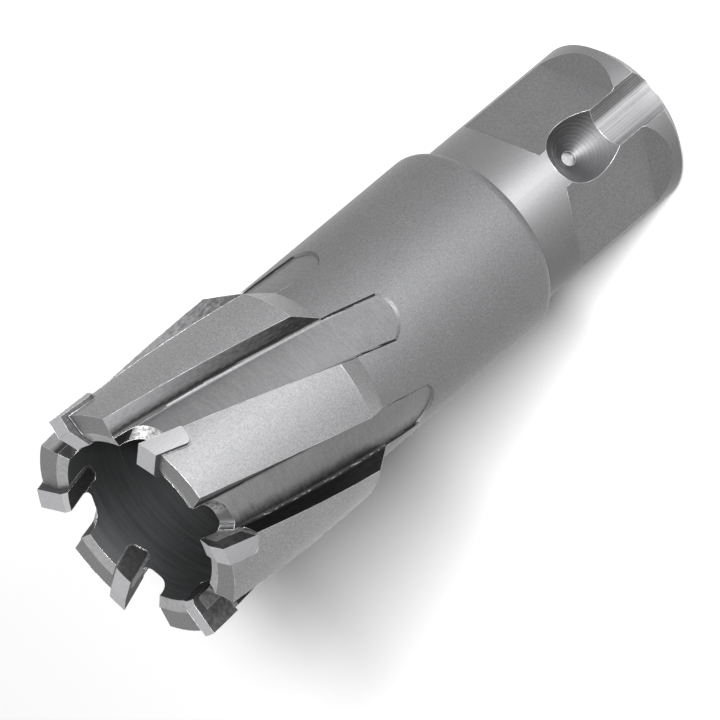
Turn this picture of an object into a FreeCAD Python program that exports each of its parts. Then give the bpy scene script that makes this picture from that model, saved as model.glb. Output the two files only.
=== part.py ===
import FreeCAD, Part
import math
import os

# Annular cutter for a magnetic drill: a turned and milled steel body with six brazed carbide tips.
# It stands on the flat end of its shank with the cutting end up. The origin is the centre of that
# end face, +Z runs along the axis to the tips, and +X points at the ball dimple in the shank.
# Lengths are in millimetres and angles in degrees.

# Shank
shank_diameter = 18.0
shank_length = 21.85
shank_end_bevel = 1.2
flat_distance = 7.6
flat_azimuth = 45.0
flat_foot_low = 4.35
flat_foot_high = 15.6
flat_low_ramp = 34.0
flat_high_ramp = 48.0
dimple_height = 10.95
dimple_rim_radius = 4.39
dimple_middle_radius = 3.15
dimple_middle_distance = 7.55
dimple_floor_distance = 5.2
pit_diameter = 1.5
pit_depth = 0.45
groove_radius = 3.2
groove_floor_distance = 7.6

# Kerf that the tips cut, and how far the body stands back from it
cutting_diameter = 25.0
core_diameter = 17.6
side_clearance = 0.35
core_clearance = 0.2

# Neck and head
neck_diameter = 20.66
neck_length = 24.8
neck_corner_radius = 1.3
taper_length = 3.05
land_length = 20.85
land_bevel_width = 1.1
land_bevel_drop = 0.38

# Bores
relief_depth = 7.35
relief_step = 0.03
slug_bore_depth = 28.15
slug_bore_point_angle = 118.0
pilot_hole_diameter = 6.4
pilot_hole_bevel = 0.5

# Teeth and flutes, given where the tips end and twisting with the helix below
tooth_count = 6
tooth_azimuth = 23.2
rake_offset = 0.65
helix_lead = 253.5
flute_angle = 25.3
flute_spread_rate = 0.283
flute_wall_lean = 3.5
flute_web = 1.05
flute_floor_crown = 0.1
flute_foot_fillet = 0.28
flute_end_depth = 31.6
flute_end_radius = 3.6
flute_end_slope = 45.0

# Gullets, the windows through the wall in front of each tip
gullet_width = 3.45
gullet_angle = 18.0
gullet_depth = 3.45
gullet_floor_slope = 38.0
gullet_trail_radius = 1.35
gullet_lead_radius = 1.1
gullet_overlap = 0.1

# Carbide tips and their braze
tip_stand = 0.85
tip_length = 4.75
tip_thickness = 1.85
tip_corner_radius = 0.65
tip_lead_corner_radius = 0.3
tip_relief_angle = 5.0
seat_clearance = 1.2
peaked_ridge_inset = 1.75
peaked_outer_drop = 0.16
peaked_inner_drop = 0.7
flat_ridge_inset = 3.2
flat_ridge_drop = 0.18
flat_outer_drop = 0.04
flat_inner_drop = 0.5
braze_thickness = 0.24
braze_front_thickness = 0.3

# Levels and radii that follow from the sizes above
shank_radius = shank_diameter / 2
neck_radius = neck_diameter / 2
tip_radius = cutting_diameter / 2
core_radius = core_diameter / 2
land_radius = tip_radius - side_clearance
bore_radius = core_radius + core_clearance
bevel_radius = bore_radius + land_bevel_width
floor_radius = bore_radius + flute_web
foot_radius = floor_radius + flute_floor_crown
taper_level = shank_length + neck_length
land_level = taper_level + taper_length
front_level = land_level + land_length
tip_level = front_level + tip_stand
tooth_pitch = 360.0 / tooth_count
twist_rate = 360.0 / helix_lead
over_cut = 2.0
clear_radius = tip_radius + over_cut
flute_steps = 16

UP = FreeCAD.Vector(0, 0, 1)
ORIGIN = FreeCAD.Vector(0, 0, 0)


def heading(azimuth):
    """Unit vector that points outwards at an azimuth."""
    turn = math.radians(azimuth)
    return FreeCAD.Vector(math.cos(turn), math.sin(turn), 0)


def leading(azimuth):
    """Unit vector a quarter turn ahead of a heading, the way the tool cuts."""
    return heading(azimuth + 90)


def at(radius, azimuth, level):
    return heading(azimuth) * radius + UP * level


def closed_face(edges):
    return Part.Face(Part.Wire(edges))


def line(start, end):
    return Part.LineSegment(start, end).toShape()


def arc(start, middle, end):
    return Part.Arc(start, middle, end).toShape()


def polygon(points):
    return Part.makePolygon(points + points[:1])


def corner_arc(corner, to_one, to_other, reach):
    """Arc that rounds a corner, tangent to both sides at the same reach from it."""
    half = to_one.getAngle(to_other) / 2
    bisector = (to_one + to_other).normalize()
    radius = reach * math.tan(half)
    middle = corner + bisector * (reach / math.cos(half) - radius)
    return arc(corner + to_one * reach, middle, corner + to_other * reach)


def turned(points):
    """Solid of revolution about Z from (radius, level) points."""
    outline = [FreeCAD.Vector(radius, 0, level) for radius, level in points]
    return Part.Face(polygon(outline)).revolve(ORIGIN, UP, 360)


def ring(inner_radius, outer_radius, low, high):
    return turned([(inner_radius, low), (outer_radius, low), (outer_radius, high), (inner_radius, high)])


def body_blank():
    """The turned body: shank, rounded shoulder, neck, taper and head, with its stepped bore."""
    slug_radius = bore_radius - relief_step
    pilot_radius = pilot_hole_diameter / 2
    bore_floor = front_level - slug_bore_depth
    point_height = (slug_radius - pilot_radius) / math.tan(math.radians(slug_bore_point_angle / 2))
    shoulder = neck_radius - neck_corner_radius
    blank = turned([
        (pilot_radius + pilot_hole_bevel, 0),
        (shank_radius - shank_end_bevel, 0),
        (shank_radius, shank_end_bevel),
        (shank_radius, shank_length),
        (neck_radius, shank_length),
        (neck_radius, taper_level),
        (land_radius, land_level),
        (land_radius, front_level),
        (bevel_radius, front_level),
        (bore_radius, front_level - land_bevel_drop),
        (bore_radius, front_level - relief_depth),
        (slug_radius, front_level - relief_depth),
        (slug_radius, bore_floor),
        (pilot_radius, bore_floor - point_height),
        (pilot_radius, pilot_hole_bevel),
    ])
    centre = FreeCAD.Vector(shoulder, 0, shank_length + neck_corner_radius)
    slant = neck_corner_radius * math.sqrt(0.5)
    round_start = FreeCAD.Vector(neck_radius, 0, centre.z)
    round_end = FreeCAD.Vector(shoulder, 0, shank_length)
    outside = FreeCAD.Vector(over_cut, 0, 0)
    below = FreeCAD.Vector(0, 0, -over_cut)
    corner = FreeCAD.Vector(neck_radius, 0, shank_length) + outside + below
    rounding = closed_face([
        line(corner, round_start + outside),
        line(round_start + outside, round_start),
        arc(round_start, centre + FreeCAD.Vector(slant, 0, -slant), round_end),
        line(round_end, round_end + below),
        line(round_end + below, corner),
    ]).revolve(ORIGIN, UP, 360)
    return blank.cut(rounding)


def drive_flat(azimuth):
    """Milled flat with a sloped wall at each end."""
    out = shank_radius + over_cut
    rise = out - flat_distance
    low = flat_foot_low - rise / math.tan(math.radians(flat_low_ramp))
    high = flat_foot_high + rise / math.tan(math.radians(flat_high_ramp))
    side = leading(azimuth) * shank_radius
    outline = [
        at(flat_distance, azimuth, flat_foot_low) - side,
        at(flat_distance, azimuth, flat_foot_high) - side,
        at(out, azimuth, high) - side,
        at(out, azimuth, low) - side,
    ]
    return Part.Face(polygon(outline)).extrude(side * 2)


def ball_dimple():
    """Bowl in the side of the shank, with the small pit that the drill point left."""
    out = shank_radius + over_cut
    flare = (dimple_rim_radius - dimple_middle_radius) / (shank_radius - dimple_middle_distance)
    grow = dimple_rim_radius + flare * over_cut
    bowl = closed_face([
        line(FreeCAD.Vector(dimple_floor_distance - pit_depth, 0, 0), FreeCAD.Vector(out, 0, 0)),
        line(FreeCAD.Vector(out, 0, 0), FreeCAD.Vector(out, 0, grow)),
        line(FreeCAD.Vector(out, 0, grow), FreeCAD.Vector(shank_radius, 0, dimple_rim_radius)),
        arc(FreeCAD.Vector(shank_radius, 0, dimple_rim_radius),
            FreeCAD.Vector(dimple_middle_distance, 0, dimple_middle_radius),
            FreeCAD.Vector(dimple_floor_distance, 0, pit_diameter / 2)),
        line(FreeCAD.Vector(dimple_floor_distance, 0, pit_diameter / 2),
             FreeCAD.Vector(dimple_floor_distance - pit_depth, 0, pit_diameter / 2)),
        line(FreeCAD.Vector(dimple_floor_distance - pit_depth, 0, pit_diameter / 2),
             FreeCAD.Vector(dimple_floor_distance - pit_depth, 0, 0)),
    ]).revolve(ORIGIN, FreeCAD.Vector(1, 0, 0), 360)
    bowl.translate(UP * dimple_height)
    return bowl


def exit_groove():
    """Round-bottomed groove from the dimple out through the end of the shank."""
    start = at(groove_floor_distance + groove_radius, 0, -over_cut)
    return Part.makeCylinder(groove_radius, dimple_height + over_cut, start, UP)


def flute_edges(number, depth):
    """Azimuths of a flute's rake-side wall and of its trailing edge, at a depth below the tips."""
    lead_azimuth = tooth_azimuth + number * tooth_pitch - twist_rate * depth
    spread = flute_angle + flute_spread_rate * max(0.0, min(depth, tip_level - taper_level))
    face_turn = math.degrees(math.asin(rake_offset / land_radius))
    return lead_azimuth, lead_azimuth + face_turn + spread


def flute_section(number, depth):
    """Outline of one flute at a depth below the tips."""
    level = tip_level - depth
    lead_azimuth, trail_azimuth = flute_edges(number, depth)
    side = leading(lead_azimuth) * rake_offset + UP * level
    lead_foot = side + heading(lead_azimuth) * math.sqrt(foot_radius ** 2 - rake_offset ** 2)
    lead_out = side + heading(lead_azimuth) * clear_radius
    trail_foot = at(foot_radius, trail_azimuth - flute_wall_lean, level)
    trail_edge = at(land_radius, trail_azimuth, level)
    trail_up = (trail_edge - trail_foot).normalize()
    trail_out = trail_edge + trail_up * (clear_radius - land_radius)
    middle = at(floor_radius, (lead_azimuth + trail_azimuth) / 2, level)

    to_lead = (middle - trail_foot).normalize()
    to_trail = (middle - lead_foot).normalize()
    lead_up = (lead_out - lead_foot).normalize()
    reach = flute_foot_fillet
    return Part.Wire([
        line(trail_out, trail_foot + trail_up * reach),
        corner_arc(trail_foot, trail_up, to_lead, reach),
        arc(trail_foot + to_lead * reach, middle, lead_foot + to_trail * reach),
        corner_arc(lead_foot, to_trail, lead_up, reach),
        line(lead_foot + lead_up * reach, lead_out),
        line(lead_out, trail_out),
    ])


def flute_stop(number):
    """What the round nose of the milling cutter leaves at the shank end of a flute."""
    centre_depth = flute_end_depth - flute_end_radius
    lead_azimuth, trail_azimuth = flute_edges(number, centre_depth)
    middle = (lead_azimuth + trail_azimuth) / 2
    level = tip_level - centre_depth
    below = flute_end_radius + 2 * over_cut
    slope = math.tan(math.radians(flute_end_slope))
    reach = flute_end_radius / slope
    rise = clear_radius + over_cut - neck_radius
    apex = at(neck_radius - reach, middle, level)
    nose = Part.makeCone(0, flute_end_radius + rise * slope, reach + rise, apex, heading(middle))
    return Part.makeCylinder(clear_radius, below, at(0, 0, level - below), UP).cut(nose)


def flute(number):
    """One helical flute, from above the head to its round end on the neck."""
    end = flute_end_depth + over_cut
    depths = [-over_cut + (end + over_cut) * step / flute_steps for step in range(flute_steps + 1)]
    sections = [flute_section(number, depth) for depth in depths]
    return Part.makeLoft(sections, True, False).cut(flute_stop(number))


def tip_frame(number):
    """Heading, lead side, long axis and outward normal of a tip's rake face."""
    azimuth = tooth_azimuth + number * tooth_pitch
    tilt = math.atan(2 * math.pi * tip_radius / helix_lead)
    side = leading(azimuth)
    along = UP * math.cos(tilt) + side * math.sin(tilt)
    normal = side * math.cos(tilt) - UP * math.sin(tilt)
    face_point = UP * tip_level + side * rake_offset
    return heading(azimuth), along, normal, face_point


def tip_slab(number, growth, inner_reach, lead_growth=0.0):
    """Flat block with rounded rear corners, grown round the tip to make room for braze."""
    outward, along, normal, face_point = tip_frame(number)
    start = face_point + outward * inner_reach
    front = along * over_cut
    rear = along * -(tip_length + growth)
    back = normal * -(tip_thickness + growth)
    lead = normal * lead_growth
    corner = start + rear + back
    lead_corner = start + rear + lead
    reach = tip_corner_radius + growth
    lead_reach = tip_lead_corner_radius + lead_growth
    outline = closed_face([
        line(start + front + lead, start + front + back),
        line(start + front + back, corner + along * reach),
        corner_arc(corner, along, normal, reach),
        line(corner + normal * reach, lead_corner - normal * lead_reach),
        corner_arc(lead_corner, normal * -1, along, lead_reach),
        line(lead_corner + along * lead_reach, start + front + lead),
    ])
    return outline.extrude(outward * (clear_radius - inner_reach))


def above_plane(point, one_way, other_way):
    """Block on the upper side of a plane through a point and two directions."""
    normal = one_way.cross(other_way).normalize()
    if normal.z < 0:
        normal = normal * -1
    across = one_way.normalize()
    beside = normal.cross(across)
    size = cutting_diameter
    start = point - across * size - beside * size
    opposite = point + across * size + beside * size
    outline = [start, start + across * 2 * size, opposite, start + beside * 2 * size]
    return Part.Face(polygon(outline)).extrude(normal * size)


def front_plane(number, radius, drop, other_radius, other_drop):
    """Relieved front face through two points of the rake edge."""
    outward, along, normal, face_point = tip_frame(number)
    one = face_point + outward * radius - UP * drop
    other = face_point + outward * other_radius - UP * other_drop
    side = leading(tooth_azimuth + number * tooth_pitch)
    relief = side * -math.cos(math.radians(tip_relief_angle)) - UP * math.sin(math.radians(tip_relief_angle))
    return above_plane(one, other - one, relief)


def carbide_tip(number):
    """One tip: odd ones peak between the two sides of the kerf, even ones are flat with an inner bevel."""
    block = tip_slab(number, 0.0, core_radius - over_cut)
    block = block.common(ring(core_radius, tip_radius, tip_level - 2 * tip_length, tip_level + over_cut))
    if number % 2:
        ridge, ridge_drop = tip_radius - peaked_ridge_inset, 0.0
        outer_drop, inner_drop = peaked_outer_drop, peaked_inner_drop
    else:
        ridge, ridge_drop = tip_radius - flat_ridge_inset, flat_ridge_drop
        outer_drop, inner_drop = flat_outer_drop, flat_inner_drop
    block = block.cut(front_plane(number, ridge, ridge_drop, core_radius, inner_drop))
    return block.cut(front_plane(number, ridge, ridge_drop, tip_radius, outer_drop))


def tip_seat(number):
    """Slot that is milled for a tip and its braze."""
    return tip_slab(number, braze_thickness, core_radius - over_cut, braze_front_thickness)


def rake_clearance(number):
    """Open space ahead of a tip, above the foot of the flute's wall."""
    outward, along, normal, face_point = tip_frame(number)
    inner_reach = foot_radius + flute_foot_fillet
    start = face_point + outward * inner_reach + along * over_cut
    rear = along * -(tip_length + braze_thickness + over_cut)
    lead = normal * seat_clearance
    outline = [start, start + rear, start + rear + lead, start + lead]
    return Part.Face(polygon(outline)).extrude(outward * (clear_radius - inner_reach))


def braze_seam(number):
    """Filler behind, below and round the foot of a tip, flush with the head."""
    filler = tip_seat(number).cut(tip_slab(number, 0.0, core_radius - over_cut))
    filler = filler.cut(rake_clearance(number)).cut(gullet(number))
    return filler.common(turned([
        (bore_radius, tip_level - 2 * tip_length),
        (land_radius, tip_level - 2 * tip_length),
        (land_radius, front_level),
        (bevel_radius, front_level),
        (bore_radius, front_level - land_bevel_drop),
    ]))


def gullet_section(number, reach):
    """Outline of a gullet where a plane square to the tip's heading cuts it."""
    outward, along, normal, face_point = tip_frame(number)
    side = leading(tooth_azimuth + number * tooth_pitch)
    lean = UP + side * math.tan(math.radians(twist_rate)) * bore_radius
    up = FreeCAD.Vector(lean).normalize()
    beyond = reach - bore_radius
    width = gullet_width + beyond * math.tan(math.radians(gullet_angle))
    depth = gullet_depth + beyond * math.tan(math.radians(gullet_floor_slope))
    floor = face_point + outward * reach - lean * depth
    lead_corner = floor - side * gullet_overlap
    trail_corner = floor + side * width
    top = lean * (depth + over_cut)
    return Part.Wire([
        line(trail_corner + top, trail_corner + up * gullet_trail_radius),
        corner_arc(trail_corner, up, side * -1, gullet_trail_radius),
        line(trail_corner - side * gullet_trail_radius, lead_corner + side * gullet_lead_radius),
        corner_arc(lead_corner, side, up, gullet_lead_radius),
        line(lead_corner + up * gullet_lead_radius, lead_corner + top),
        line(lead_corner + top, trail_corner + top),
    ])


def gullet(number):
    """Window through the wall ahead of a tip, with walls that spread and a floor that falls outwards."""
    reaches = (bore_radius - over_cut / 2, clear_radius)
    return Part.makeLoft([gullet_section(number, reach) for reach in reaches], True, True)


def cutter_body():
    body = body_blank()
    for azimuth in (flat_azimuth, -flat_azimuth):
        body = body.cut(drive_flat(azimuth))
    body = body.cut(exit_groove())
    body = body.cut(ball_dimple())
    for number in range(tooth_count):
        body = body.cut(flute(number))
        body = body.cut(gullet(number))
        body = body.cut(tip_seat(number)).cut(rake_clearance(number))
    return body


def save(shape, name):
    solids = shape.Solids
    shape = solids[0] if len(solids) == 1 else Part.makeCompound(solids)
    print(name, "solids", len(solids), "valid", shape.isValid(), "volume", round(shape.Volume, 2))
    shape.exportStep(os.path.join("parts", name + ".step"))


def main():
    os.makedirs("parts", exist_ok=True)
    save(cutter_body(), "cutter_body")
    for number in range(tooth_count):
        save(carbide_tip(number), "carbide_tip_%d" % (number + 1))
        save(braze_seam(number), "braze_seam_%d" % (number + 1))


main()
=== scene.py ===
import math

import bmesh
import bpy
from mathutils import Matrix, Vector


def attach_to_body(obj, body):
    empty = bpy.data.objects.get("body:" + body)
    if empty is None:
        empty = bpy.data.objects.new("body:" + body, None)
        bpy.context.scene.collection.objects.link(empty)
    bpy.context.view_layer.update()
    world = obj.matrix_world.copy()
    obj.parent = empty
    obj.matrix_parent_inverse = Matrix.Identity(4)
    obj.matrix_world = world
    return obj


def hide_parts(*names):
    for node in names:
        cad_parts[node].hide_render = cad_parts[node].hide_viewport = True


bl_info = {
    "name": "Annular cutter dresser",
    "version": (1, 0, 0),
    "blender": (4, 5, 0),
    "location": "View3D > Sidebar > Cutter",
    "description": "Dresses the packed annular cutter in blasted and ground steel, carbide and braze",
    "category": "Object",
}

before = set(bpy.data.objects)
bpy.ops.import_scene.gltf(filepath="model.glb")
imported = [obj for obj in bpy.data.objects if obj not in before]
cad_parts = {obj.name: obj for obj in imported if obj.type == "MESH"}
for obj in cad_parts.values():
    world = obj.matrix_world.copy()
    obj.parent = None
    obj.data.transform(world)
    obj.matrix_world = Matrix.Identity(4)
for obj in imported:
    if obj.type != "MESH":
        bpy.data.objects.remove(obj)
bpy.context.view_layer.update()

# Radii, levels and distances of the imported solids, in millimetres, to tell their surfaces apart
MM = 0.001
SHANK_RADIUS = 9.0
SHANK_END_BEVEL = 1.2
SHANK_TOP = 21.85
FLATS_TOP = SHANK_TOP - 1
FLAT_DISTANCE = 7.6
DIMPLE_LEVEL = 10.95
DIMPLE_RADIUS = 4.45
DIMPLE_FLOOR = 5.2
PIT_RADIUS = 0.75
PIT_RIM_RADIUS = PIT_RADIUS + 0.1
GROOVE_RADIUS = 3.2
GROOVE_AXIS = 10.8
GROOVE_END = 7.7
PILOT_RADIUS = 3.2
PILOT_RIM_RADIUS = PILOT_RADIUS + 0.6
NECK_RADIUS = 10.33
BORE_RADIUS = 9.0
BORE_RIM_RADIUS = BORE_RADIUS + 0.3
TIP_INNER_RADIUS = 9.1
BEVEL_RADIUS = 10.1
FLUTE_FOOT_RADIUS = 10.35
FLUTE_CORNER_RADIUS = FLUTE_FOOT_RADIUS + 0.1
LAND_RADIUS = 12.15
HEAD_START = 39.0
TAPER_START = 46.6
GULLET_START = 64.5
BORE_RIM = 66.0
FRONT_LEVEL = 70.1
FRONT_EDGES = FRONT_LEVEL - 0.5
TIP_LEVEL = 71.4
TOOTH_COUNT = 6
TOOTH_AZIMUTH = 23.2
HELIX_LEAD = 253.5

# How far the middle of a face may lie off its surface, in millimetres: off the bore, the lands and the
# shank's round, off the groove and the neck, and off the flats and edges. The last is a cut's least depth.
ROUND_SLACK = 0.05
CUT_SLACK = 0.03
FLAT_SLACK = 0.02
LEAST_CUT = 0.01

# How far a face turns outwards, up or round the axis, from 0 to 1, by the way it was made, and for the
# walls and slits that get painted shade
TURNED_ROUND = 0.98
FRONT_UP = 0.8
FRONT_LEVEL_UP = 0.97
FLOOR_OUT = 0.9
WALL_OUT = 0.55
WALL_UP = 0.4
PEBBLED_UP = 0.45
PAINTED_SHADE_AHEAD = 0.3
SLIT_UP = 0.3
TAPER_DOWN = -0.2
BEVEL_OUT = 0.6
TIP_SIDE = 0.7

# Wall of the dimple as (x, radius round its own axis), from its rim to the pit
BOWL = ((9.0, 4.39), (7.55, 3.15), (DIMPLE_FLOOR, PIT_RADIUS))

# Radii of the innermost and outermost ring in the dimple, in millimetres. The outermost stays inside the
# groove's floor, so that none hangs over the groove.
FIRST_RING = 0.95
LAST_RING = 3.1
RING_SEED = 4

# Half the angle that the groove's tool lines spread over, in degrees, and how far above the shank's end they
# start, in millimetres
LINE_SPREAD = 44
LINE_START = 0.03
LINE_SEED = 11

# Size of the lumps in the braze, in millimetres, and how close, in metres, two corners of the loose triangles
# are when they are one
LUMP_SIZE = 0.7
MERGE_DISTANCE = 2e-6

# Angles in degrees from which an edge is sharp enough to be rubbed, and from which the braze keeps a crease
RUBBED_ANGLE = 24
CREASE_ANGLE = 30

# How bright each kind of edge is rubbed, from 0 for a hidden one
WEAR = {"hidden": 0.0, "front": 0.6, "bore rim": 0.35, "teeth": 0.55, "pit": 0.5, "dimple": 0.9,
        "shank": 0.15, "tip": 1.0, "tip in the bore": 0.4}
LEAST_WEAR = 0.1

# Values of a noise between which the marks go from dark hollows to light tops
HOLLOW = 0.35
TOP = 0.65

# How much rougher the hollows are than the middle tone, and how strongly every finish shows its bumps
SHEEN_CHANGE = 0.04
BUMP_STRENGTH = 0.6

# How far the waves of the mill move the border of the painted shade beside the wall below a tip, in radians
BORDER_WAVE = 0.12

# Rings in each unit of Blender's wave texture at a scale of 1, and how far apart the dimple's rings are, in
# millimetres
WAVE_RINGS = 20 / math.tau
RING_PITCH = 0.3


def srgb(code):
    """Linear colour from an sRGB hex value."""
    parts = [int(code[i:i + 2], 16) / 255 for i in (1, 3, 5)]
    return tuple(c / 12.92 if c <= 0.04045 else ((c + 0.055) / 1.055) ** 2.4 for c in parts)


def length(name, about, default):
    """Property for a length that is given in millimetres."""
    return bpy.props.FloatProperty(name=name, description=about, default=default * MM, min=0.0, unit="LENGTH",
                                   precision=5)


def count(name, about, default):
    """Property for a number of marks."""
    return bpy.props.IntProperty(name=name, description=about, default=default, min=1)


def colour(name, about, default):
    """Property for a colour that is given as an sRGB hex value."""
    return bpy.props.FloatVectorProperty(name=name, description=about, default=srgb(default), size=3, min=0.0,
                                         max=1.0, subtype="COLOR")


class CutterSizes(bpy.types.PropertyGroup):
    """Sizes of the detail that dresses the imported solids."""
    body_edge: length("Steel edge", "Radius of the worn bright edges of the steel", 0.035)
    tip_edge: length("Carbide edge", "Radius of the honed bright edges of the tips", 0.018)
    braze_swell: length("Braze swell", "How far the braze swells along its seam", 0.04)
    grain: length("Blasted grain", "Size of the marks that blasting leaves", 0.18)
    pebble: length("Rough grain", "Size of the pebbled marks in the gullets", 0.33)
    ring_bead: length("Dimple tool ring", "Radius of the ridges that the drill left in the dimple", 0.013)
    line_bead: length("Groove tool line", "Radius of the ridges along the groove", 0.02)
    ring_count: count("Dimple tool rings", "Ridges in the dimple", 7)
    line_count: count("Groove tool lines", "Ridges in the groove", 14)


class CutterColours(bpy.types.PropertyGroup):
    """Colours of the finishes and of the stage."""
    blasted: colour("Blasted steel", "Neck, flutes and flats", "#666667")
    shank: colour("Turned steel", "Round of the shank", "#747475")
    ground: colour("Ground steel", "Lands and the front", "#7A7A7B")
    bevelled: colour("Bevelled steel", "Strip between front and bore, and the dimple's pit", "#A0A0A1")
    milled: colour("Milled steel", "Trailing walls of the flutes and sides of the gullets", "#69696A")
    # Nearly black: painted shade on the walls below the tips and the slits at the flute ends
    dark: colour("Painted shade steel", "Walls of the flutes and gullets below the tips", "#2A2A2B")
    rough: colour("Rough steel", "Floors of the gullets", "#969696")
    # A darker grey: painted shade inside the cutter
    bore: colour("Bore steel", "Inside of the cutter", "#565758")
    # A darker grey: painted shade in the dimple's hollow
    drilled: colour("Drilled steel", "Dimple", "#5A5A5B")
    drawn: colour("Grooved steel", "Groove beside the dimple", "#8A8A8B")
    edge: colour("Worn edge", "Bright metal along the edges", "#A9A9AA")
    carbide: colour("Ground carbide", "Outer faces of the tips", "#868688")
    honed: colour("Honed carbide", "Front faces of the tips", "#ACACAE")
    # Dark: painted shade on the cutting and inner faces of the tips
    shaded: colour("Shaded carbide", "Cutting and inner faces of the tips", "#4A4A4B")
    sintered: colour("Sintered carbide", "Backs of the tips", "#424243")
    carbide_edge: colour("Honed edge", "Edges of the tips", "#A0A0A1")
    braze: colour("Silver braze", "Filler round the tips", "#666666")
    floor: colour("Floor", "White board that the cutter stands on", "#F6F6F6")


def add(tree, kind, links=(), sockets=(), **settings):
    """Adds one node with its settings and socket values, and links (input, output) pairs into it."""
    node = tree.nodes.new(kind)
    for key, value in settings.items():
        setattr(node, key, value)
    for key, value in dict(sockets).items():
        node.inputs[key].default_value = value
    for key, output in links:
        tree.links.new(output, node.inputs[key])
    return node


def metal(name, base, pattern, spread, depth, roughness, turned=0.0, rim=1.0):
    """Bare metal whose tone, shine and bump follow one pattern, from dark dull hollows to light rubbed tops.
    The spread is how far the tone departs from the base, and the depth is in millimetres. Turned metal has
    rings too fine to see, which stretch its highlights along the Z axis, and a rim below 1 dulls the
    reflection where it is seen from the side, which deepens painted shade."""
    material = bpy.data.materials.new(name)
    material.use_nodes = True
    tree = material.node_tree
    tree.nodes.clear()
    height = pattern(tree, add(tree, "ShaderNodeTexCoord").outputs["Object"])
    tone = add(tree, "ShaderNodeValToRGB", [("Fac", height)])
    for stop, place, factor in zip(tone.color_ramp.elements, (HOLLOW, TOP), (1 - spread, 1 + spread)):
        stop.position = place
        stop.color = tuple(min(1.0, part * factor) for part in base) + (1.0,)
    sheen = add(tree, "ShaderNodeMapRange", [("Value", height)],
                {"From Min": HOLLOW, "From Max": TOP, "To Min": roughness + SHEEN_CHANGE,
                 "To Max": roughness - SHEEN_CHANGE})
    bump = add(tree, "ShaderNodeBump", [("Height", height)],
               {"Strength": BUMP_STRENGTH, "Distance": depth * MM})
    links = [("Base Color", tone.outputs["Color"]), ("Roughness", sheen.outputs["Result"]),
             ("Normal", bump.outputs["Normal"])]
    values = {"Metallic": 1.0, "Specular Tint": (rim, rim, rim, 1.0)}
    if turned:
        round_axis = add(tree, "ShaderNodeTangent", direction_type="RADIAL", axis="Z")
        links.append(("Tangent", round_axis.outputs["Tangent"]))
        values.update({"Anisotropic": turned, "Anisotropic Rotation": 0.25})
    shader = add(tree, "ShaderNodeBsdfPrincipled", links, values)
    add(tree, "ShaderNodeOutputMaterial", [("Surface", shader.outputs["BSDF"])])
    return material


def grain(size, cloud_share):
    """Even grain of a size in metres, with a share of slow cloudy change 3 mm across."""
    def pattern(tree, place):
        marks = add(tree, "ShaderNodeTexNoise", [("Vector", place)], {"Scale": 1 / size, "Detail": 3.0})
        clouds = add(tree, "ShaderNodeTexNoise", [("Vector", place)], {"Scale": 1 / (3 * MM), "Detail": 2.0})
        both = add(tree, "ShaderNodeMix", [("A", marks.outputs["Fac"]), ("B", clouds.outputs["Fac"])],
                   {"Factor": cloud_share})
        return both.outputs["Result"]
    return pattern


def streaks(*sizes):
    """Tool streaks, with the size of one streak along X, Y and Z in millimetres."""
    def pattern(tree, place):
        drawn = add(tree, "ShaderNodeMapping", [("Vector", place)],
                    {"Scale": [1 / (size * MM) for size in sizes]})
        noise = add(tree, "ShaderNodeTexNoise", [("Vector", drawn.outputs["Vector"])],
                    {"Scale": 1.0, "Detail": 3.0})
        return noise.outputs["Fac"]
    return pattern


def slope(axis, start, end, low, high):
    """Tone that goes from low to high between two places along an axis, in millimetres."""
    def pattern(tree, place):
        parts = add(tree, "ShaderNodeSeparateXYZ", [("Vector", place)])
        height = add(tree, "ShaderNodeMapRange", [("Value", parts.outputs[axis])],
                     {"From Min": start * MM, "From Max": end * MM, "To Min": low, "To Max": high})
        return height.outputs["Result"]
    return pattern


def off_axis(start, end, low, high):
    """Tone that goes from low to high between two distances from the Z axis, in millimetres."""
    def pattern(tree, place):
        level = add(tree, "ShaderNodeVectorMath", [(0, place)], {1: (1, 1, 0)}, operation="MULTIPLY")
        radius = add(tree, "ShaderNodeVectorMath", [(0, level.outputs["Vector"])], operation="LENGTH")
        height = add(tree, "ShaderNodeMapRange", [("Value", radius.outputs["Value"])],
                     {"From Min": start * MM, "From Max": end * MM, "To Min": low, "To Max": high})
        return height.outputs["Result"]
    return pattern


def painted_shade_behind_tooth(start, end, low, high):
    """Painted shade: a tone that goes from low to high between two angles, in degrees, round from the wall
    below each tip, on the -Y side only. The wall follows the helix, and fine waves of the mill break up the
    tone's border."""
    def pattern(tree, place):
        tooth = math.tau / TOOTH_COUNT
        twist = math.tau / (HELIX_LEAD * MM)
        parts = add(tree, "ShaderNodeSeparateXYZ", [("Vector", place)])
        turn = add(tree, "ShaderNodeMath", [(0, parts.outputs["Y"]), (1, parts.outputs["X"])],
                   operation="ARCTAN2")
        unwound = add(tree, "ShaderNodeMath", [(0, parts.outputs["Z"]), (2, turn.outputs["Value"])],
                      {1: -twist}, operation="MULTIPLY_ADD")
        moved = add(tree, "ShaderNodeMath", [(0, unwound.outputs["Value"])],
                    {1: TIP_LEVEL * MM * twist - math.radians(TOOTH_AZIMUTH)}, operation="ADD")
        waves = streaks(1.5, 1.5, 0.5)(tree, place)
        broken = add(tree, "ShaderNodeMath", [(0, waves), (2, moved.outputs["Value"])], {1: BORDER_WAVE},
                     operation="MULTIPLY_ADD")
        teeth = add(tree, "ShaderNodeMath", [(0, broken.outputs["Value"])], {1: tooth}, operation="DIVIDE")
        share = add(tree, "ShaderNodeMath", [(0, teeth.outputs["Value"])], operation="FRACT")
        height = add(tree, "ShaderNodeMapRange", [("Value", share.outputs["Value"])],
                     {"From Min": math.radians(start) / tooth, "From Max": math.radians(end) / tooth,
                      "To Min": low, "To Max": high})
        other_side = slope("Y", -5.5, -4, low, high)(tree, place)
        lightest = add(tree, "ShaderNodeMath", [(0, height.outputs["Result"]), (1, other_side)],
                       operation="MAXIMUM")
        return lightest.outputs["Value"]
    return pattern


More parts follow.
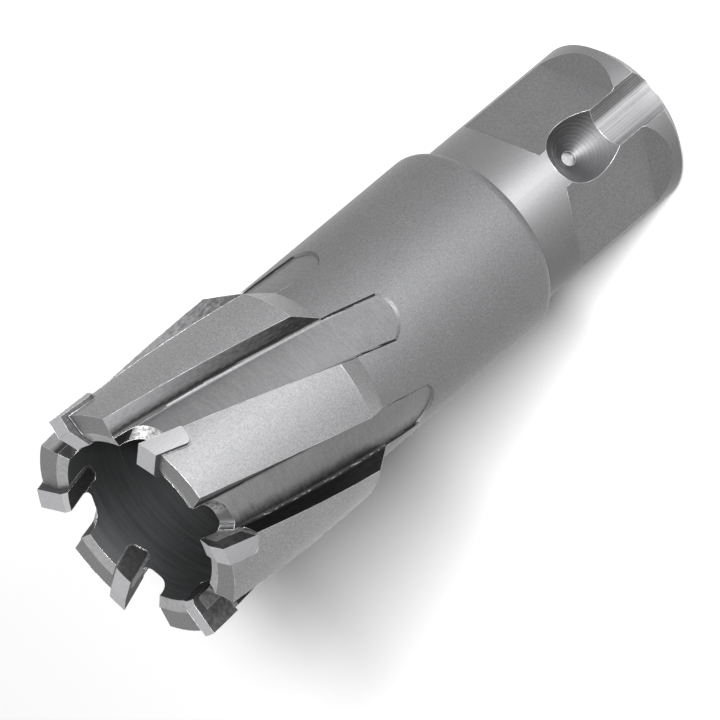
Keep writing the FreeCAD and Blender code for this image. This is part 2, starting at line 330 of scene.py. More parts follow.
def layered(films, marks=None, share=0.0):
    """The darkest of some patterns at each place, and a share of the tool's marks over it."""
    def pattern(tree, place):
        height = films[0](tree, place)
        for film in films[1:]:
            darkest = add(tree, "ShaderNodeMath", [(0, height), (1, film(tree, place))], operation="MINIMUM")
            height = darkest.outputs["Value"]
        if marks:
            both = add(tree, "ShaderNodeMix", [("A", height), ("B", marks(tree, place))], {"Factor": share})
            height = both.outputs["Result"]
        return height
    return pattern


def dimple_rings(tree, place):
    """Rings round the dimple's axis, wavering a little."""
    centred = add(tree, "ShaderNodeMapping", [("Vector", place)],
                  {"Location": (0, 0, -DIMPLE_LEVEL), "Scale": (1 / MM, 1 / MM, 1 / MM)})
    rings = add(tree, "ShaderNodeTexWave", [("Vector", centred.outputs["Vector"])],
                {"Scale": 1 / (WAVE_RINGS * RING_PITCH), "Distortion": 2.5, "Detail": 2.0}, wave_type="RINGS",
                rings_direction="X")
    return rings.outputs["Fac"]


def blasted_steel(colours, sizes):
    """Hardened tool steel, bead-blasted: satin grey without mirror reflections. The real grain is finer than
    a pixel, so it is drawn at 0.18 mm, as coarse as it needs to show."""
    return metal("blasted_tool_steel", colours.blasted, grain(sizes.grain, 0.12), spread=0.15, depth=0.024,
                 roughness=0.5)


def flute_steel(colours, sizes):
    """The blasted steel where chips run: a little shinier, so it picks up the dark wall beside it, with faint
    ticks across it from the feed of the mill. On the -Y side it has painted shade beside the wall below a
    tip."""
    ticks = layered([grain(sizes.grain, 0.2)], streaks(2, 2, 0.35), 0.35)
    # Painted shade on the floor beside the wall below each tip, on the -Y side
    marks = layered([painted_shade_behind_tooth(6, 17, low=0.22, high=0.5)], ticks, 0.23)
    return metal("rubbed_flute_steel", colours.blasted, marks, spread=0.7, depth=0.1, roughness=0.4)


def shank_steel(colours, sizes):
    """The same steel turned and polished for its holder: smooth, with one bright highlight along its length,
    and painted shade on its -Y side."""
    marks = layered([slope("Y", -8, -2, low=0.3, high=0.5)], grain(sizes.grain, 0.1), 0.2)
    return metal("polished_shank_steel", colours.shank, marks, spread=0.3, depth=0.006, roughness=0.5,
                 turned=0.6)


def ground_steel(colours, sizes):
    """The same steel ground round and lightly blasted: lighter, with a fine speckle."""
    return metal("ground_land_steel", colours.ground, grain(sizes.grain, 0.1), spread=0.19, depth=0.016,
                 roughness=0.44)


def bevelled_steel(colours, sizes):
    """Freshly cut bevel: the brightest steel of the body, as it is left unblasted."""
    return metal("bevelled_tool_steel", colours.bevelled, streaks(0.4, 0.4, 0.4), spread=0.12, depth=0.01,
                 roughness=0.4)


def rough_steel(colours, sizes):
    """Steel left rough by the gullet cutter and the torch: pebbled, with dark hollows and bright tops, and
    darker with painted shade on the -Y side."""
    marks = layered([grain(sizes.pebble, 0.15), slope("Y", -4.5, -1, low=0.37, high=1)])
    return metal("rough_gullet_steel", colours.rough, marks, spread=0.65, depth=0.06, roughness=0.48)


def milled_steel(colours, sizes):
    """Trailing walls of the flutes, milled: mottled grey by the tips, and darker with painted shade towards
    the shank and down in the corner beside the floor."""
    marks = layered([slope("Z", 48, 66, low=0.3, high=0.68), off_axis(10.4, 11.2, low=0.2, high=0.68)],
                    streaks(0.25, 0.25, 0.6), 0.22)
    return metal("milled_steel_with_painted_shade", colours.milled, marks, spread=0.75, depth=0.008, roughness=0.45)


def dark_steel(colours, sizes):
    """Walls of the flutes and gullets below the tips, and the slits at the flute ends: painted nearly black
    as their shade, and even.
    """
    return metal("painted_shade_wall_steel", colours.dark, streaks(0.5, 0.5, 1.2), spread=0.25, depth=0.006,
                 roughness=0.45, rim=0.45)


def bore_steel(colours, sizes):
    """Turned bore: a darker grey that paints the shade inside the cutter, with faint rings round it."""
    return metal("turned_bore_steel", colours.bore, streaks(6, 6, 0.3), spread=0.05, depth=0.003,
                 roughness=0.55)


def drilled_steel(colours, sizes):
    """Ball dimple, cut with a form drill: a dark grey that paints the shade in its hollow, smooth, with faint
    rings, and darker still with painted shade on its +Y side.
    """
    marks = layered([slope("Y", -2, 2.5, low=0.64, high=0.34)], dimple_rings, 0.05)
    return metal("drilled_dimple_steel", colours.drilled, marks, spread=0.5, depth=0.006, roughness=0.5)


def drawn_steel(colours, sizes):
    """Groove of the shank, cut along its length: bright in the middle, with fine streaks, and darker with
    painted shade on its sides."""
    marks = layered([slope("Y", 0.8, 1.2, low=0.54, high=0.22), slope("Y", -1.9, -1.3, low=0.42, high=0.6)],
                    streaks(0.6, 0.38, 30), 0.35)
    return metal("planed_groove_steel", colours.drawn, marks, spread=0.6, depth=0.02, roughness=0.4)


def edge_metal(name, base, roughness):
    """Edge that handling has rubbed bright, with small breaks in the shine."""
    return metal(name, base, grain(0.8 * MM, 0.3), spread=0.4, depth=0.01, roughness=roughness)


def ground_carbide(colours):
    """Sintered tungsten carbide, diamond-ground: light cool grey with fine lines from the wheel. The real
    lines are finer than a pixel, so they are drawn 0.12 mm apart."""
    return metal("ground_tungsten_carbide", colours.carbide, streaks(0.12, 0.12, 1.5), spread=0.05,
                 depth=0.002, roughness=0.55)


def honed_carbide(colours):
    """Front faces of the tips, freshly honed: the brightest surfaces of the cutter."""
    return metal("honed_tungsten_carbide", colours.honed, grain(0.2 * MM, 0.1), spread=0.08, depth=0.002,
                 roughness=0.45)


def shaded_carbide(colours):
    """Cutting and inner faces of the tips: dark with painted shade, and mottled."""
    return metal("painted_shade_carbide", colours.shaded, grain(0.45 * MM, 0.3), spread=0.4, depth=0.02,
                 roughness=0.5, rim=0.55)


def sintered_carbide(colours):
    """Backs of the tips, left as they came from the furnace: matte grey."""
    return metal("sintered_tungsten_carbide", colours.sintered, grain(0.2 * MM, 0.1), spread=0.15,
                 depth=0.006, roughness=0.75)


def silver_braze(colours):
    """Silver braze darkened by its flux: matte, lumpy grey."""
    return metal("silver_braze_alloy", colours.braze, grain(0.3 * MM, 0.3), spread=0.3, depth=0.04,
                 roughness=0.62)


BODY_FINISHES = (blasted_steel, flute_steel, shank_steel, ground_steel, bevelled_steel, rough_steel,
                 milled_steel, dark_steel, bore_steel, drilled_steel, drawn_steel)
TIP_FINISHES = (ground_carbide, honed_carbide, shaded_carbide, sintered_carbide)


def facing(centre, normal):
    """A face's distance from the Z axis, and how far it turns outwards and ahead round that axis."""
    x, y, _ = centre
    radius = math.hypot(x, y)
    return radius, (normal.x * x + normal.y * y) / radius, (normal.y * x - normal.x * y) / radius


def body_finish(centre, normal):
    """Which of BODY_FINISHES a face has, from its middle, in millimetres, and how it faces."""
    z = centre.z
    radius, outwards, ahead = facing(centre, normal)
    if radius < PILOT_RIM_RADIUS and z < HEAD_START:
        return bore_steel
    if z > HEAD_START and radius < BORE_RADIUS + ROUND_SLACK and (outwards < 0 or z < GULLET_START):
        return bore_steel
    if z < FLATS_TOP:
        return shank_finish(centre, normal)
    if z < SHANK_TOP + LEAST_CUT:
        return shank_steel
    if z > FRONT_LEVEL and normal.z > FRONT_UP:
        return ground_steel if normal.z > FRONT_LEVEL_UP or radius > BEVEL_RADIUS else bevelled_steel
    if outwards > TURNED_ROUND and radius > LAND_RADIUS - ROUND_SLACK:
        return ground_steel
    if z > GULLET_START and radius < FLUTE_FOOT_RADIUS and outwards < FLOOR_OUT:
        # Walls below the tips in the gullets get painted shade
        if ahead > PAINTED_SHADE_AHEAD:
            return dark_steel
        return rough_steel if normal.z > PEBBLED_UP else milled_steel
    # Slits at the flute ends get painted shade
    if HEAD_START < z < TAPER_START and abs(outwards) < FLOOR_OUT and normal.z < SLIT_UP:
        return dark_steel
    if z > TAPER_START and abs(outwards) < WALL_OUT and normal.z < WALL_UP:
        # Walls below the tips get painted shade; trailing walls are milled
        return dark_steel if ahead > 0 else milled_steel
    if z > TAPER_START and normal.z < TAPER_DOWN:
        return ground_steel
    on_neck = z < TAPER_START and radius > NECK_RADIUS - CUT_SLACK and outwards > TURNED_ROUND
    if z > HEAD_START and radius < FLUTE_CORNER_RADIUS and normal.z < WALL_UP and not on_neck:
        return flute_steel
    return blasted_steel


def shank_finish(centre, normal):
    """Finish of a face on the shank: dimple, groove, its own round, or a flat."""
    x, y, z = centre
    radius, outwards, _ = facing(centre, normal)
    from_dimple = math.hypot(y, z - DIMPLE_LEVEL)
    from_groove = math.hypot(x - GROOVE_AXIS, y)
    on_flat = abs((x + abs(y)) * math.sqrt(0.5) - FLAT_DISTANCE) < FLAT_SLACK
    cut_in = x > 0 and radius < SHANK_RADIUS - LEAST_CUT
    if cut_in and z < DIMPLE_LEVEL and abs(from_groove - GROOVE_RADIUS) < CUT_SLACK:
        return drawn_steel
    if cut_in and from_dimple < PIT_RADIUS and x < DIMPLE_FLOOR and normal.x > FLOOR_OUT:
        return bevelled_steel
    if cut_in and from_dimple < DIMPLE_RADIUS and not on_flat:
        return drilled_steel
    on_round = outwards > TURNED_ROUND and radius > SHANK_RADIUS - ROUND_SLACK
    on_bevel = outwards > BEVEL_OUT and z < SHANK_END_BEVEL
    return shank_steel if on_round or on_bevel else blasted_steel


def tip_finish(centre, normal):
    """Which of TIP_FINISHES a face has, from how it faces."""
    _, outwards, ahead = facing(centre, normal)
    if normal.z > FRONT_UP:
        return honed_carbide
    if ahead > TIP_SIDE or outwards < -FRONT_UP:
        # Cutting and inner faces get painted shade
        return shaded_carbide
    return sintered_carbide if ahead < -TIP_SIDE else ground_carbide


def body_wear(point):
    """How bright a sharp edge of the body is rubbed at a point, in millimetres."""
    x, y, z = point
    radius = math.hypot(x, y)
    if radius < PILOT_RIM_RADIUS or (radius < BORE_RADIUS + FLAT_SLACK and HEAD_START < z < BORE_RIM):
        return WEAR["hidden"]
    if z > FRONT_EDGES:
        return WEAR["front" if radius > BORE_RIM_RADIUS else "bore rim"]
    if z > TAPER_START:
        return WEAR["teeth"]
    if z > HEAD_START:
        return WEAR["hidden"]
    if x > 0 and z < SHANK_TOP:
        from_dimple = math.hypot(y, z - DIMPLE_LEVEL)
        if from_dimple < PIT_RIM_RADIUS:
            return WEAR["pit"]
        if from_dimple < DIMPLE_RADIUS or (z < DIMPLE_LEVEL and abs(y) < GROOVE_RADIUS and x > GROOVE_END):
            return WEAR["dimple"]
    return WEAR["shank"]


def tip_wear(point):
    """How bright an edge of a tip is honed at a point, in millimetres. The flux dulls those in the bore."""
    return WEAR["tip" if math.hypot(point.x, point.y) > TIP_INNER_RADIUS else "tip in the bore"]


def placed(name, data):
    """A mesh, a lamp or a camera as a new object of the scene."""
    piece = bpy.data.objects.new(name, data)
    bpy.context.scene.collection.objects.link(piece)
    return piece


def merged_copy(node, name):
    """A CAD node's mesh with its loose triangles merged and its normals kept, as a new object."""
    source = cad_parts[node].data
    normals = [corner.vector.copy() for corner in source.corner_normals]
    shape = bmesh.new()
    shape.from_mesh(source)
    bmesh.ops.remove_doubles(shape, verts=shape.verts, dist=MERGE_DISTANCE)
    mesh = bpy.data.meshes.new(name)
    shape.to_mesh(mesh)
    shape.free()
    if len(mesh.loops) != len(normals):
        raise RuntimeError("merging %s lost some of its faces" % node)
    mesh.materials.clear()
    mesh.shade_smooth()
    mesh.normals_split_custom_set(normals)
    return placed(name, mesh)


def paint_faces(mesh, finishes, materials, rule):
    """Gives each face of a mesh the material of the finish that a rule picks for it."""
    for material in materials:
        mesh.materials.append(material)
    for face in mesh.polygons:
        face.material_index = finishes.index(rule(face.center / MM, face.normal))


def new_tree(name, inputs):
    """Geometry Nodes tree with a mesh in, a mesh out and named inputs, and the identifiers of its inputs."""
    tree = bpy.data.node_groups.new(name, "GeometryNodeTree")
    tree.interface.new_socket("Geometry", in_out="INPUT", socket_type="NodeSocketGeometry")
    tree.interface.new_socket("Geometry", in_out="OUTPUT", socket_type="NodeSocketGeometry")
    found = {label: tree.interface.new_socket(label, in_out="INPUT", socket_type=kind).identifier
             for label, kind in inputs}
    return tree, add(tree, "NodeGroupInput").outputs, found


def end_tree(tree, geometry, material):
    """Realizes what a tree has made, gives it its material and sends it out."""
    real = add(tree, "GeometryNodeRealizeInstances", [("Geometry", geometry)])
    smooth = add(tree, "GeometryNodeSetShadeSmooth", [("Geometry", real.outputs["Geometry"])])
    painted = add(tree, "GeometryNodeSetMaterial",
                  [("Geometry", smooth.outputs["Geometry"]), ("Material", material)])
    add(tree, "NodeGroupOutput", [("Geometry", painted.outputs["Geometry"])])


def grown(name, mesh, tree, found, values):
    """Runs a tree on a mesh and returns the result as a plain object."""
    holder = placed(name + "_seed", mesh)
    modifier = holder.modifiers.new("nodes", "NODES")
    modifier.node_group = tree
    for label, value in values.items():
        modifier[found[label]] = value
    evaluated = holder.evaluated_get(bpy.context.evaluated_depsgraph_get())
    made = bpy.data.meshes.new_from_object(evaluated)
    holder.modifiers.clear()
    bpy.data.objects.remove(holder)
    if not made.polygons:
        raise RuntimeError(name + " came out empty")
    made.name = name
    return placed(name, made)


def attach(piece):
    """Lets a piece ride on the cutter."""
    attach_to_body(piece, "root")


def beaded(tree, curve, radius, wear=None):
    """Turns curves into thin beads whose width follows a noise along them, and the wear if it is given."""
    noise = add(tree, "ShaderNodeTexNoise", sockets={"Scale": 1 / (1.5 * MM), "Detail": 2.0})
    uneven = add(tree, "ShaderNodeMapRange", [("Value", noise.outputs["Fac"])],
                 {"From Min": HOLLOW, "From Max": TOP, "To Min": 0.45, "To Max": 1.3})
    width = uneven.outputs["Result"]
    if wear is not None:
        worn = add(tree, "ShaderNodeMath", [(0, width), (1, wear)], operation="MULTIPLY")
        width = worn.outputs["Value"]
    sized = add(tree, "GeometryNodeSetCurveRadius", [("Curve", curve), ("Radius", width)])
    profile = add(tree, "GeometryNodeCurvePrimitiveCircle", [("Radius", radius)], {"Resolution": 5})
    bead = add(tree, "GeometryNodeCurveToMesh",
               [("Curve", sized.outputs["Curve"]), ("Profile Curve", profile.outputs["Curve"]),
                ("Scale", width)], {"Fill Caps": True})
    return bead.outputs["Mesh"]


def worn_edge_tree():
    """A thin bright bead along every outward edge that is sharp, as wide as the edge is worn."""
    tree, given, found = new_tree("worn_edges", [
        ("Bead radius", "NodeSocketFloat"),
        ("Least angle", "NodeSocketFloat"),
        ("Material", "NodeSocketMaterial"),
    ])
    wear = add(tree, "GeometryNodeInputNamedAttribute", sockets={"Name": "wear"},
               data_type="FLOAT").outputs["Attribute"]
    angle = add(tree, "GeometryNodeInputMeshEdgeAngle")
    sharp = add(tree, "ShaderNodeMath", [(0, angle.outputs["Signed Angle"]), (1, given["Least angle"])],
                operation="GREATER_THAN")
    exposed = add(tree, "ShaderNodeMath", [(0, wear)], {1: LEAST_WEAR}, operation="GREATER_THAN")
    chosen = add(tree, "ShaderNodeMath", [(0, sharp.outputs["Value"]), (1, exposed.outputs["Value"])],
                 operation="MULTIPLY")
    lines = add(tree, "GeometryNodeMeshToCurve",
                [("Mesh", given["Geometry"]), ("Selection", chosen.outputs["Value"])])
    end_tree(tree, beaded(tree, lines.outputs["Curve"], given["Bead radius"], wear), given["Material"])
    return tree, found


TOOL_MARK_INPUTS = [
    ("Count", "NodeSocketInt"),
    ("Seed", "NodeSocketInt"),
    ("Bead radius", "NodeSocketFloat"),
    ("Arc radius", "NodeSocketFloat"),
    ("First angle", "NodeSocketFloat"),
    ("Last angle", "NodeSocketFloat"),
    ("Arc centre", "NodeSocketVector"),
    ("Material", "NodeSocketMaterial"),
]


def spread_marks(tree, given):
    """A point on the arc for each mark of a row: across it and beside it, evenly spaced with some luck."""
    index = add(tree, "GeometryNodeInputIndex")
    luck = add(tree, "FunctionNodeRandomValue", [("Seed", given["Seed"])], data_type="FLOAT")
    place = add(tree, "ShaderNodeMath", [(0, index.outputs["Index"]), (1, luck.outputs[1])], operation="ADD")
    share = add(tree, "ShaderNodeMath", [(0, place.outputs["Value"]), (1, given["Count"])],
                operation="DIVIDE")
    angle = add(tree, "ShaderNodeMapRange",
                [("Value", share.outputs["Value"]), ("To Min", given["First angle"]),
                 ("To Max", given["Last angle"])])
    point = []
    for part in ("COSINE", "SINE"):
        unit = add(tree, "ShaderNodeMath", [(0, angle.outputs["Result"])], operation=part)
        sized = add(tree, "ShaderNodeMath", [(0, unit.outputs["Value"]), (1, given["Arc radius"])],
                    operation="MULTIPLY")
        point.append(sized.outputs["Value"])
    return point


def mark_lines(tree, given, places, shape, turn, scale):
    """Puts one curve at each place of a row and turns them all into beads."""
    row = add(tree, "GeometryNodeMeshLine", [("Count", given["Count"])])
    moved = add(tree, "GeometryNodeSetPosition", [("Geometry", row.outputs["Mesh"]), ("Position", places)])
    put = add(tree, "GeometryNodeInstanceOnPoints",
              [("Points", moved.outputs["Geometry"]), ("Instance", shape), ("Scale", scale)],
              {"Rotation": turn})
    real = add(tree, "GeometryNodeRealizeInstances", [("Geometry", put.outputs["Instances"])])
    end_tree(tree, beaded(tree, real.outputs["Geometry"], given["Bead radius"]), given["Material"])


def dimple_ring_tree():
    """Ridges of the form drill: circles round the dimple's axis, unevenly spaced down the arc of its wall."""
    tree, given, found = new_tree("dimple_rings", TOOL_MARK_INPUTS)
    across, beside = spread_marks(tree, given)
    middle = add(tree, "ShaderNodeSeparateXYZ", [("Vector", given["Arc centre"])])
    depth = add(tree, "ShaderNodeMath", [(0, across), (1, middle.outputs["X"])], operation="ADD")
    size = add(tree, "ShaderNodeMath", [(0, beside), (1, middle.outputs["Y"])], operation="ADD")
    places = add(tree, "ShaderNodeCombineXYZ", [("X", depth.outputs["Value"]), ("Z", middle.outputs["Z"])])
    ring = add(tree, "GeometryNodeCurvePrimitiveCircle", sockets={"Resolution": 72, "Radius": 1.0})
    mark_lines(tree, given, places.outputs["Vector"], ring.outputs["Curve"], (0, math.radians(90), 0),
               size.outputs["Value"])
    return tree, found


def groove_line_tree():
    """Ridges along the groove: straight lines on its round floor, from the bevel of the shank's end to the
    dimple."""
    tree, given, found = new_tree("groove_lines", TOOL_MARK_INPUTS + [("Reach", "NodeSocketFloat")])
    across, beside = spread_marks(tree, given)
    middle = add(tree, "ShaderNodeSeparateXYZ", [("Vector", given["Arc centre"])])
    x = add(tree, "ShaderNodeMath", [(0, middle.outputs["X"]), (1, across)], operation="SUBTRACT")
    flat = add(tree, "ShaderNodeCombineXYZ", [("X", x.outputs["Value"]), ("Y", beside)])
    radius = add(tree, "ShaderNodeVectorMath", [(0, flat.outputs["Vector"])], operation="LENGTH")
    past = add(tree, "ShaderNodeMath", [(0, radius.outputs["Value"])],
               {1: (SHANK_RADIUS - SHANK_END_BEVEL) * MM}, operation="SUBTRACT")
    start = add(tree, "ShaderNodeMath", [(0, past.outputs["Value"])], {1: LINE_START * MM},
                operation="MAXIMUM")
    places = add(tree, "ShaderNodeCombineXYZ",
                 [("X", x.outputs["Value"]), ("Y", beside), ("Z", start.outputs["Value"])])
    left = add(tree, "ShaderNodeMath", [(0, given["Reach"]), (1, start.outputs["Value"])],
               operation="SUBTRACT")
    scale = add(tree, "ShaderNodeCombineXYZ", [("Z", left.outputs["Value"])], {"X": 1.0, "Y": 1.0})
    straight = add(tree, "GeometryNodeCurvePrimitiveLine", sockets={"End": (0, 0, 1)})
    fine = add(tree, "GeometryNodeResampleCurve", [("Curve", straight.outputs["Curve"])], {"Count": 20})
    mark_lines(tree, given, places.outputs["Vector"], fine.outputs["Curve"], (0, 0, 0),
               scale.outputs["Vector"])
    return tree, found


def lumpy_braze_tree():
    """Pushes the faces of a seam out by a noise, in lumps, and keeps its creases."""
    tree, given, found = new_tree("lumpy_braze", [
        ("Swell", "NodeSocketFloat"),
        ("Lump size", "NodeSocketFloat"),
        ("Material", "NodeSocketMaterial"),
    ])
    fine = add(tree, "GeometryNodeSubdivideMesh", [("Mesh", given["Geometry"])], {"Level": 2})
    scale = add(tree, "ShaderNodeMath", [(1, given["Lump size"])], {0: 1.0}, operation="DIVIDE")
    lumps = add(tree, "ShaderNodeTexNoise", [("Scale", scale.outputs["Value"])], {"Detail": 1.0})
    angle = add(tree, "GeometryNodeInputMeshEdgeAngle")
    corner = add(tree, "ShaderNodeMath", [(0, angle.outputs["Unsigned Angle"])],
                 {1: math.radians(CREASE_ANGLE)}, operation="GREATER_THAN")
    crisp = add(tree, "GeometryNodeSetShadeSmooth",
                [("Geometry", fine.outputs["Mesh"]), ("Selection", corner.outputs["Value"])],
                {"Shade Smooth": False}, domain="EDGE")
    height = add(tree, "ShaderNodeMapRange", [("Value", lumps.outputs["Fac"]), ("To Max", given["Swell"])],
                 {"From Min": 0.4, "From Max": 0.7})
    normal = add(tree, "GeometryNodeInputNormal")
    push = add(tree, "ShaderNodeVectorMath",
               [(0, normal.outputs["Normal"]), ("Scale", height.outputs["Result"])], operation="SCALE")
    swollen = add(tree, "GeometryNodeSetPosition",
                  [("Geometry", crisp.outputs["Geometry"]), ("Offset", push.outputs["Vector"])])
    end_tree(tree, swollen.outputs["Geometry"], given["Material"])
    return tree, found


def arc_through(one, two, three):
    """Centre and radius of the circle through three points of a plane."""
    (ax, ay), (bx, by), (cx, cy) = one, two, three
    turn = 2 * (ax * (by - cy) + bx * (cy - ay) + cx * (ay - by))
    squares = [x * x + y * y for x, y in (one, two, three)]
    centre_x = (squares[0] * (by - cy) + squares[1] * (cy - ay) + squares[2] * (ay - by)) / turn
    centre_y = (squares[0] * (cx - bx) + squares[1] * (ax - cx) + squares[2] * (bx - ax)) / turn
    return centre_x, centre_y, math.hypot(ax - centre_x, ay - centre_y)


class CUTTER_OT_dress_body(bpy.types.Operator):
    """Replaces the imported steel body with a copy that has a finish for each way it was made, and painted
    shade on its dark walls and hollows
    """
    bl_idname = "cutter.dress_body"
    bl_label = "Steel body"

    def execute(self, context):
        scene = context.scene
        body = merged_copy("cutter_body", "steel_body")
        materials = [finish(scene.cutter_colours, scene.cutter_sizes) for finish in BODY_FINISHES]
        paint_faces(body.data, BODY_FINISHES, materials, body_finish)
        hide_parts("cutter_body")
        attach(body)
        return {"FINISHED"}


class CUTTER_OT_dress_tips(bpy.types.Operator):
    """Replaces each packed carbide tip with a copy in ground carbide"""
    bl_idname = "cutter.dress_tips"
    bl_label = "Carbide tips"

    def execute(self, context):
        materials = [finish(context.scene.cutter_colours) for finish in TIP_FINISHES]
        for number in range(1, TOOTH_COUNT + 1):
            tip = merged_copy("carbide_tip_%d" % number, "ground_tip_%d" % number)
            paint_faces(tip.data, TIP_FINISHES, materials, tip_finish)
            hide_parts("carbide_tip_%d" % number)
            attach(tip)
        return {"FINISHED"}


class CUTTER_OT_dress_braze(bpy.types.Operator):
    """Replaces each packed braze seam with a lumpy copy"""
    bl_idname = "cutter.dress_braze"
    bl_label = "Braze seams"

    def execute(self, context):
        values = {
            "Swell": context.scene.cutter_sizes.braze_swell,
            "Lump size": LUMP_SIZE * MM,
            "Material": silver_braze(context.scene.cutter_colours),
        }
        tree, found = lumpy_braze_tree()
        for number in range(1, TOOTH_COUNT + 1):
            blank = merged_copy("braze_seam_%d" % number, "seam_blank_%d" % number)
            seam = grown("braze_fill_%d" % number, blank.data, tree, found, values)
            bpy.data.objects.remove(blank)
            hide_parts("braze_seam_%d" % number)
            attach(seam)
        return {"FINISHED"}


class CUTTER_OT_tool_marks(bpy.types.Operator):
    """Lays fine ridges round the dimple and along the groove, where the tools left them"""
    bl_idname = "cutter.tool_marks"
    bl_label = "Tool marks"

    def execute(self, context):
        sizes = context.scene.cutter_sizes
        colours = context.scene.cutter_colours
        centre_x, centre_r, radius = arc_through(*BOWL)
        first, last = (math.pi - math.asin((ring - centre_r) / radius) for ring in (FIRST_RING, LAST_RING))
        tree, found = dimple_ring_tree()
        attach(grown("dimple_tool_rings", bpy.data.meshes.new("rings_seed"), tree, found, {
            "Count": sizes.ring_count, "Seed": RING_SEED, "Bead radius": sizes.ring_bead,
            "Arc radius": radius * MM, "First angle": first, "Last angle": last,
            "Arc centre": (centre_x * MM, centre_r * MM, DIMPLE_LEVEL * MM),
            "Material": edge_metal("dimple_ridge_steel", colours.drilled, roughness=0.4),
        }))
        tree, found = groove_line_tree()
        attach(grown("groove_tool_lines", bpy.data.meshes.new("lines_seed"), tree, found, {
            "Count": sizes.line_count, "Seed": LINE_SEED, "Bead radius": sizes.line_bead,
            "Arc radius": GROOVE_RADIUS * MM,
            "First angle": math.radians(-LINE_SPREAD), "Last angle": math.radians(LINE_SPREAD),
            "Arc centre": (GROOVE_AXIS * MM, 0.0, 0.0), "Reach": GROOVE_END * MM,
            "Material": edge_metal("groove_ridge_steel", colours.drawn, roughness=0.36),
        }))
        return {"FINISHED"}


class CUTTER_OT_wear_edges(bpy.types.Operator):
    """Runs a thin bright bead along the sharp edges of the steel and of the tips"""
    bl_idname = "cutter.wear_edges"
    bl_label = "Worn edges"

    def execute(self, context):
        sizes = context.scene.cutter_sizes
        colours = context.scene.cutter_colours
        tree, found = worn_edge_tree()
        steel = edge_metal("rubbed_edge_steel", colours.edge, roughness=0.4)
        carbide = edge_metal("honed_edge_carbide", colours.carbide_edge, roughness=0.36)
        jobs = [("steel_body", "steel_edges", sizes.body_edge, steel, "blasted_steel", body_wear)]
        jobs += [("ground_tip_%d" % number, "tip_edges_%d" % number, sizes.tip_edge, carbide,
                  "ground_carbide", tip_wear) for number in range(1, TOOTH_COUNT + 1)]
        for source, name, radius, material, slot, wear_at in jobs:
            mesh = bpy.data.objects[source].data
            wear = mesh.attributes.new("wear", "FLOAT", "POINT")
            wear.data.foreach_set("value", [wear_at(corner.co / MM) for corner in mesh.vertices])
            edges = grown(name, mesh, tree, found, {
                "Bead radius": radius, "Least angle": math.radians(RUBBED_ANGLE), "Material": material,
            })
            mesh.attributes.remove(mesh.attributes["wear"])
            attach(edges)
        return {"FINISHED"}


# Camera fitted to the photograph: its place in metres, its axes, its lens in millimetres, and how far it sees
# in metres
CAMERA_PLACE = (0.77348923, -0.00136743, 0.51250198)
CAMERA_RIGHT = (0.39791612, -0.64613701, -0.65128314)
CAMERA_UP = (0.33630645, 0.76322127, -0.55171665)
CAMERA_BACK = (0.85355769, 0.00050623, 0.52099809)
CAMERA_LENS = 476.9
CAMERA_REACH = 10.0

# Soft boxes: name, azimuth and elevation in degrees, distance, width and height in metres, and power in
# watts. The low one gives the highlights, and the front one throws the shadow.
SOFT_BOXES = (
    ("low_soft_box", 4.0, 8.0, 0.6, 0.2, 0.2, 5.5),
    ("front_soft_box", 5.0, 34.5, 1.2, 0.22, 0.09, 29.0),
)

# Level of the cutter's middle, in millimetres, where the soft boxes look
CUTTER_MIDDLE = 36.0

# White board: its radius in metres and how far it lies below the cutter in millimetres, and how strongly the
# board and the room shine
FLOOR_RADIUS = 3.0
FLOOR_DROP = 0.02
FLOOR_GLOW = 0.04
ROOM_LIGHT = 0.09


def photo_camera():
    """The photograph's camera."""
    lens = bpy.data.cameras.new("photo_camera")
    lens.lens = CAMERA_LENS
    lens.clip_end = CAMERA_REACH
    camera = placed("photo_camera", lens)
    camera.matrix_world = Matrix((CAMERA_RIGHT, CAMERA_UP, CAMERA_BACK)).transposed().to_4x4()
    camera.location = CAMERA_PLACE
    return camera


def soft_lamp(name, azimuth, elevation, distance, width, height, power):
    """A soft box that looks at the middle of the cutter."""
    lamp = bpy.data.lights.new(name, "AREA")
    lamp.shape = "RECTANGLE"
    lamp.size = width
    lamp.size_y = height
    lamp.energy = power
    turn, lift = math.radians(azimuth), math.radians(elevation)
    away = Vector((math.cos(turn) * math.cos(lift), math.sin(turn) * math.cos(lift), math.sin(lift)))
    holder = placed(name, lamp)
    holder.location = away * distance + Vector((0, 0, CUTTER_MIDDLE * MM))
    holder.rotation_mode = "QUATERNION"
    holder.rotation_quaternion = away.to_track_quat("Z", "Y")


def seen_rays(tree):
    """1 for the rays that show the background: to the camera, in a reflection or through glass."""
    rays = add(tree, "ShaderNodeLightPath").outputs
    shown = rays["Is Camera Ray"]
    for other in ("Is Glossy Ray", "Is Transmission Ray"):
        both = add(tree, "ShaderNodeMath", [(0, shown), (1, rays[other])], operation="MAXIMUM")
        shown = both.outputs["Value"]
    return shown


def white_board(paint):
    """A matte white board that keeps the cutter's shadow, and glows a little where it is seen."""
    board = bmesh.new()
    bmesh.ops.create_circle(board, cap_ends=True, segments=64, radius=FLOOR_RADIUS)
    mesh = bpy.data.meshes.new("floor")
    board.to_mesh(mesh)
    board.free()
    mesh.transform(Matrix.Translation((0, 0, -FLOOR_DROP * MM)))
    material = bpy.data.materials.new("white_board")
    material.use_nodes = True
    tree = material.node_tree
    tree.nodes.clear()
    matte = add(tree, "ShaderNodeBsdfDiffuse", sockets={"Color": (*paint, 1.0)})
    glow = add(tree, "ShaderNodeEmission", sockets={"Strength": FLOOR_GLOW})
    lit = add(tree, "ShaderNodeAddShader", [(0, matte.outputs["BSDF"]), (1, glow.outputs["Emission"])])
    both = add(tree, "ShaderNodeMixShader",
               [(0, seen_rays(tree)), (1, matte.outputs["BSDF"]), (2, lit.outputs["Shader"])])
    add(tree, "ShaderNodeOutputMaterial", [("Surface", both.outputs["Shader"])])
    mesh.materials.append(material)
    return placed("floor", mesh)


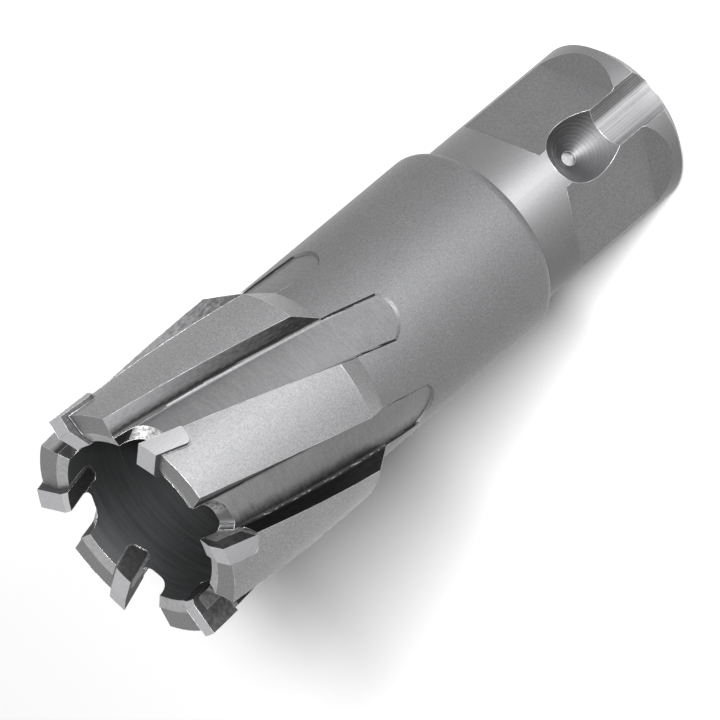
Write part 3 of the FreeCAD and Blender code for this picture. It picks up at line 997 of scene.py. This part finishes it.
def white_room():
    """World that is white where it is seen, and lights the cutter only faintly."""
    world = bpy.data.worlds.new("studio")
    world.use_nodes = True
    tree = world.node_tree
    tree.nodes.clear()
    faint, white = (add(tree, "ShaderNodeBackground", sockets={"Color": (1, 1, 1, 1), "Strength": strength})
                    for strength in (ROOM_LIGHT, 1.0))
    both = add(tree, "ShaderNodeMixShader",
               [(0, seen_rays(tree)), (1, faint.outputs["Background"]), (2, white.outputs["Background"])])
    add(tree, "ShaderNodeOutputWorld", [("Surface", both.outputs["Shader"])])
    return world


class CUTTER_OT_set_stage(bpy.types.Operator):
    """Sets the photograph's camera, soft lamps and a white floor"""
    bl_idname = "cutter.set_stage"
    bl_label = "Stage"

    def execute(self, context):
        scene = context.scene
        scene.camera = photo_camera()
        for box in SOFT_BOXES:
            soft_lamp(*box)
        floor = white_board(scene.cutter_colours.floor)
        scene.world = white_room()
        scene.view_settings.view_transform = "Standard"
        return {"FINISHED"}


class CUTTER_PT_sidebar(bpy.types.Panel):
    """Lists the pieces and the stage"""
    bl_idname = "CUTTER_PT_sidebar"
    bl_label = "Annular cutter"
    bl_space_type = "VIEW_3D"
    bl_region_type = "UI"
    bl_category = "Cutter"

    def draw(self, context):
        for step in STEPS:
            self.layout.operator(step.bl_idname)


STEPS = (CUTTER_OT_dress_body, CUTTER_OT_dress_tips, CUTTER_OT_dress_braze, CUTTER_OT_tool_marks,
         CUTTER_OT_wear_edges, CUTTER_OT_set_stage)
CLASSES = (CutterSizes, CutterColours, CUTTER_PT_sidebar) + STEPS


def register():
    for made in CLASSES:
        bpy.utils.register_class(made)
    bpy.types.Scene.cutter_sizes = bpy.props.PointerProperty(type=CutterSizes)
    bpy.types.Scene.cutter_colours = bpy.props.PointerProperty(type=CutterColours)


def unregister():
    del bpy.types.Scene.cutter_colours
    del bpy.types.Scene.cutter_sizes
    for made in reversed(CLASSES):
        bpy.utils.unregister_class(made)


def main():
    register()
    bpy.ops.cutter.dress_body()
    bpy.ops.cutter.dress_tips()
    bpy.ops.cutter.dress_braze()
    bpy.ops.cutter.tool_marks()
    bpy.ops.cutter.wear_edges()
    bpy.ops.cutter.set_stage()
    bpy.context.view_layer.update()


if __name__ == "__main__":
    main()
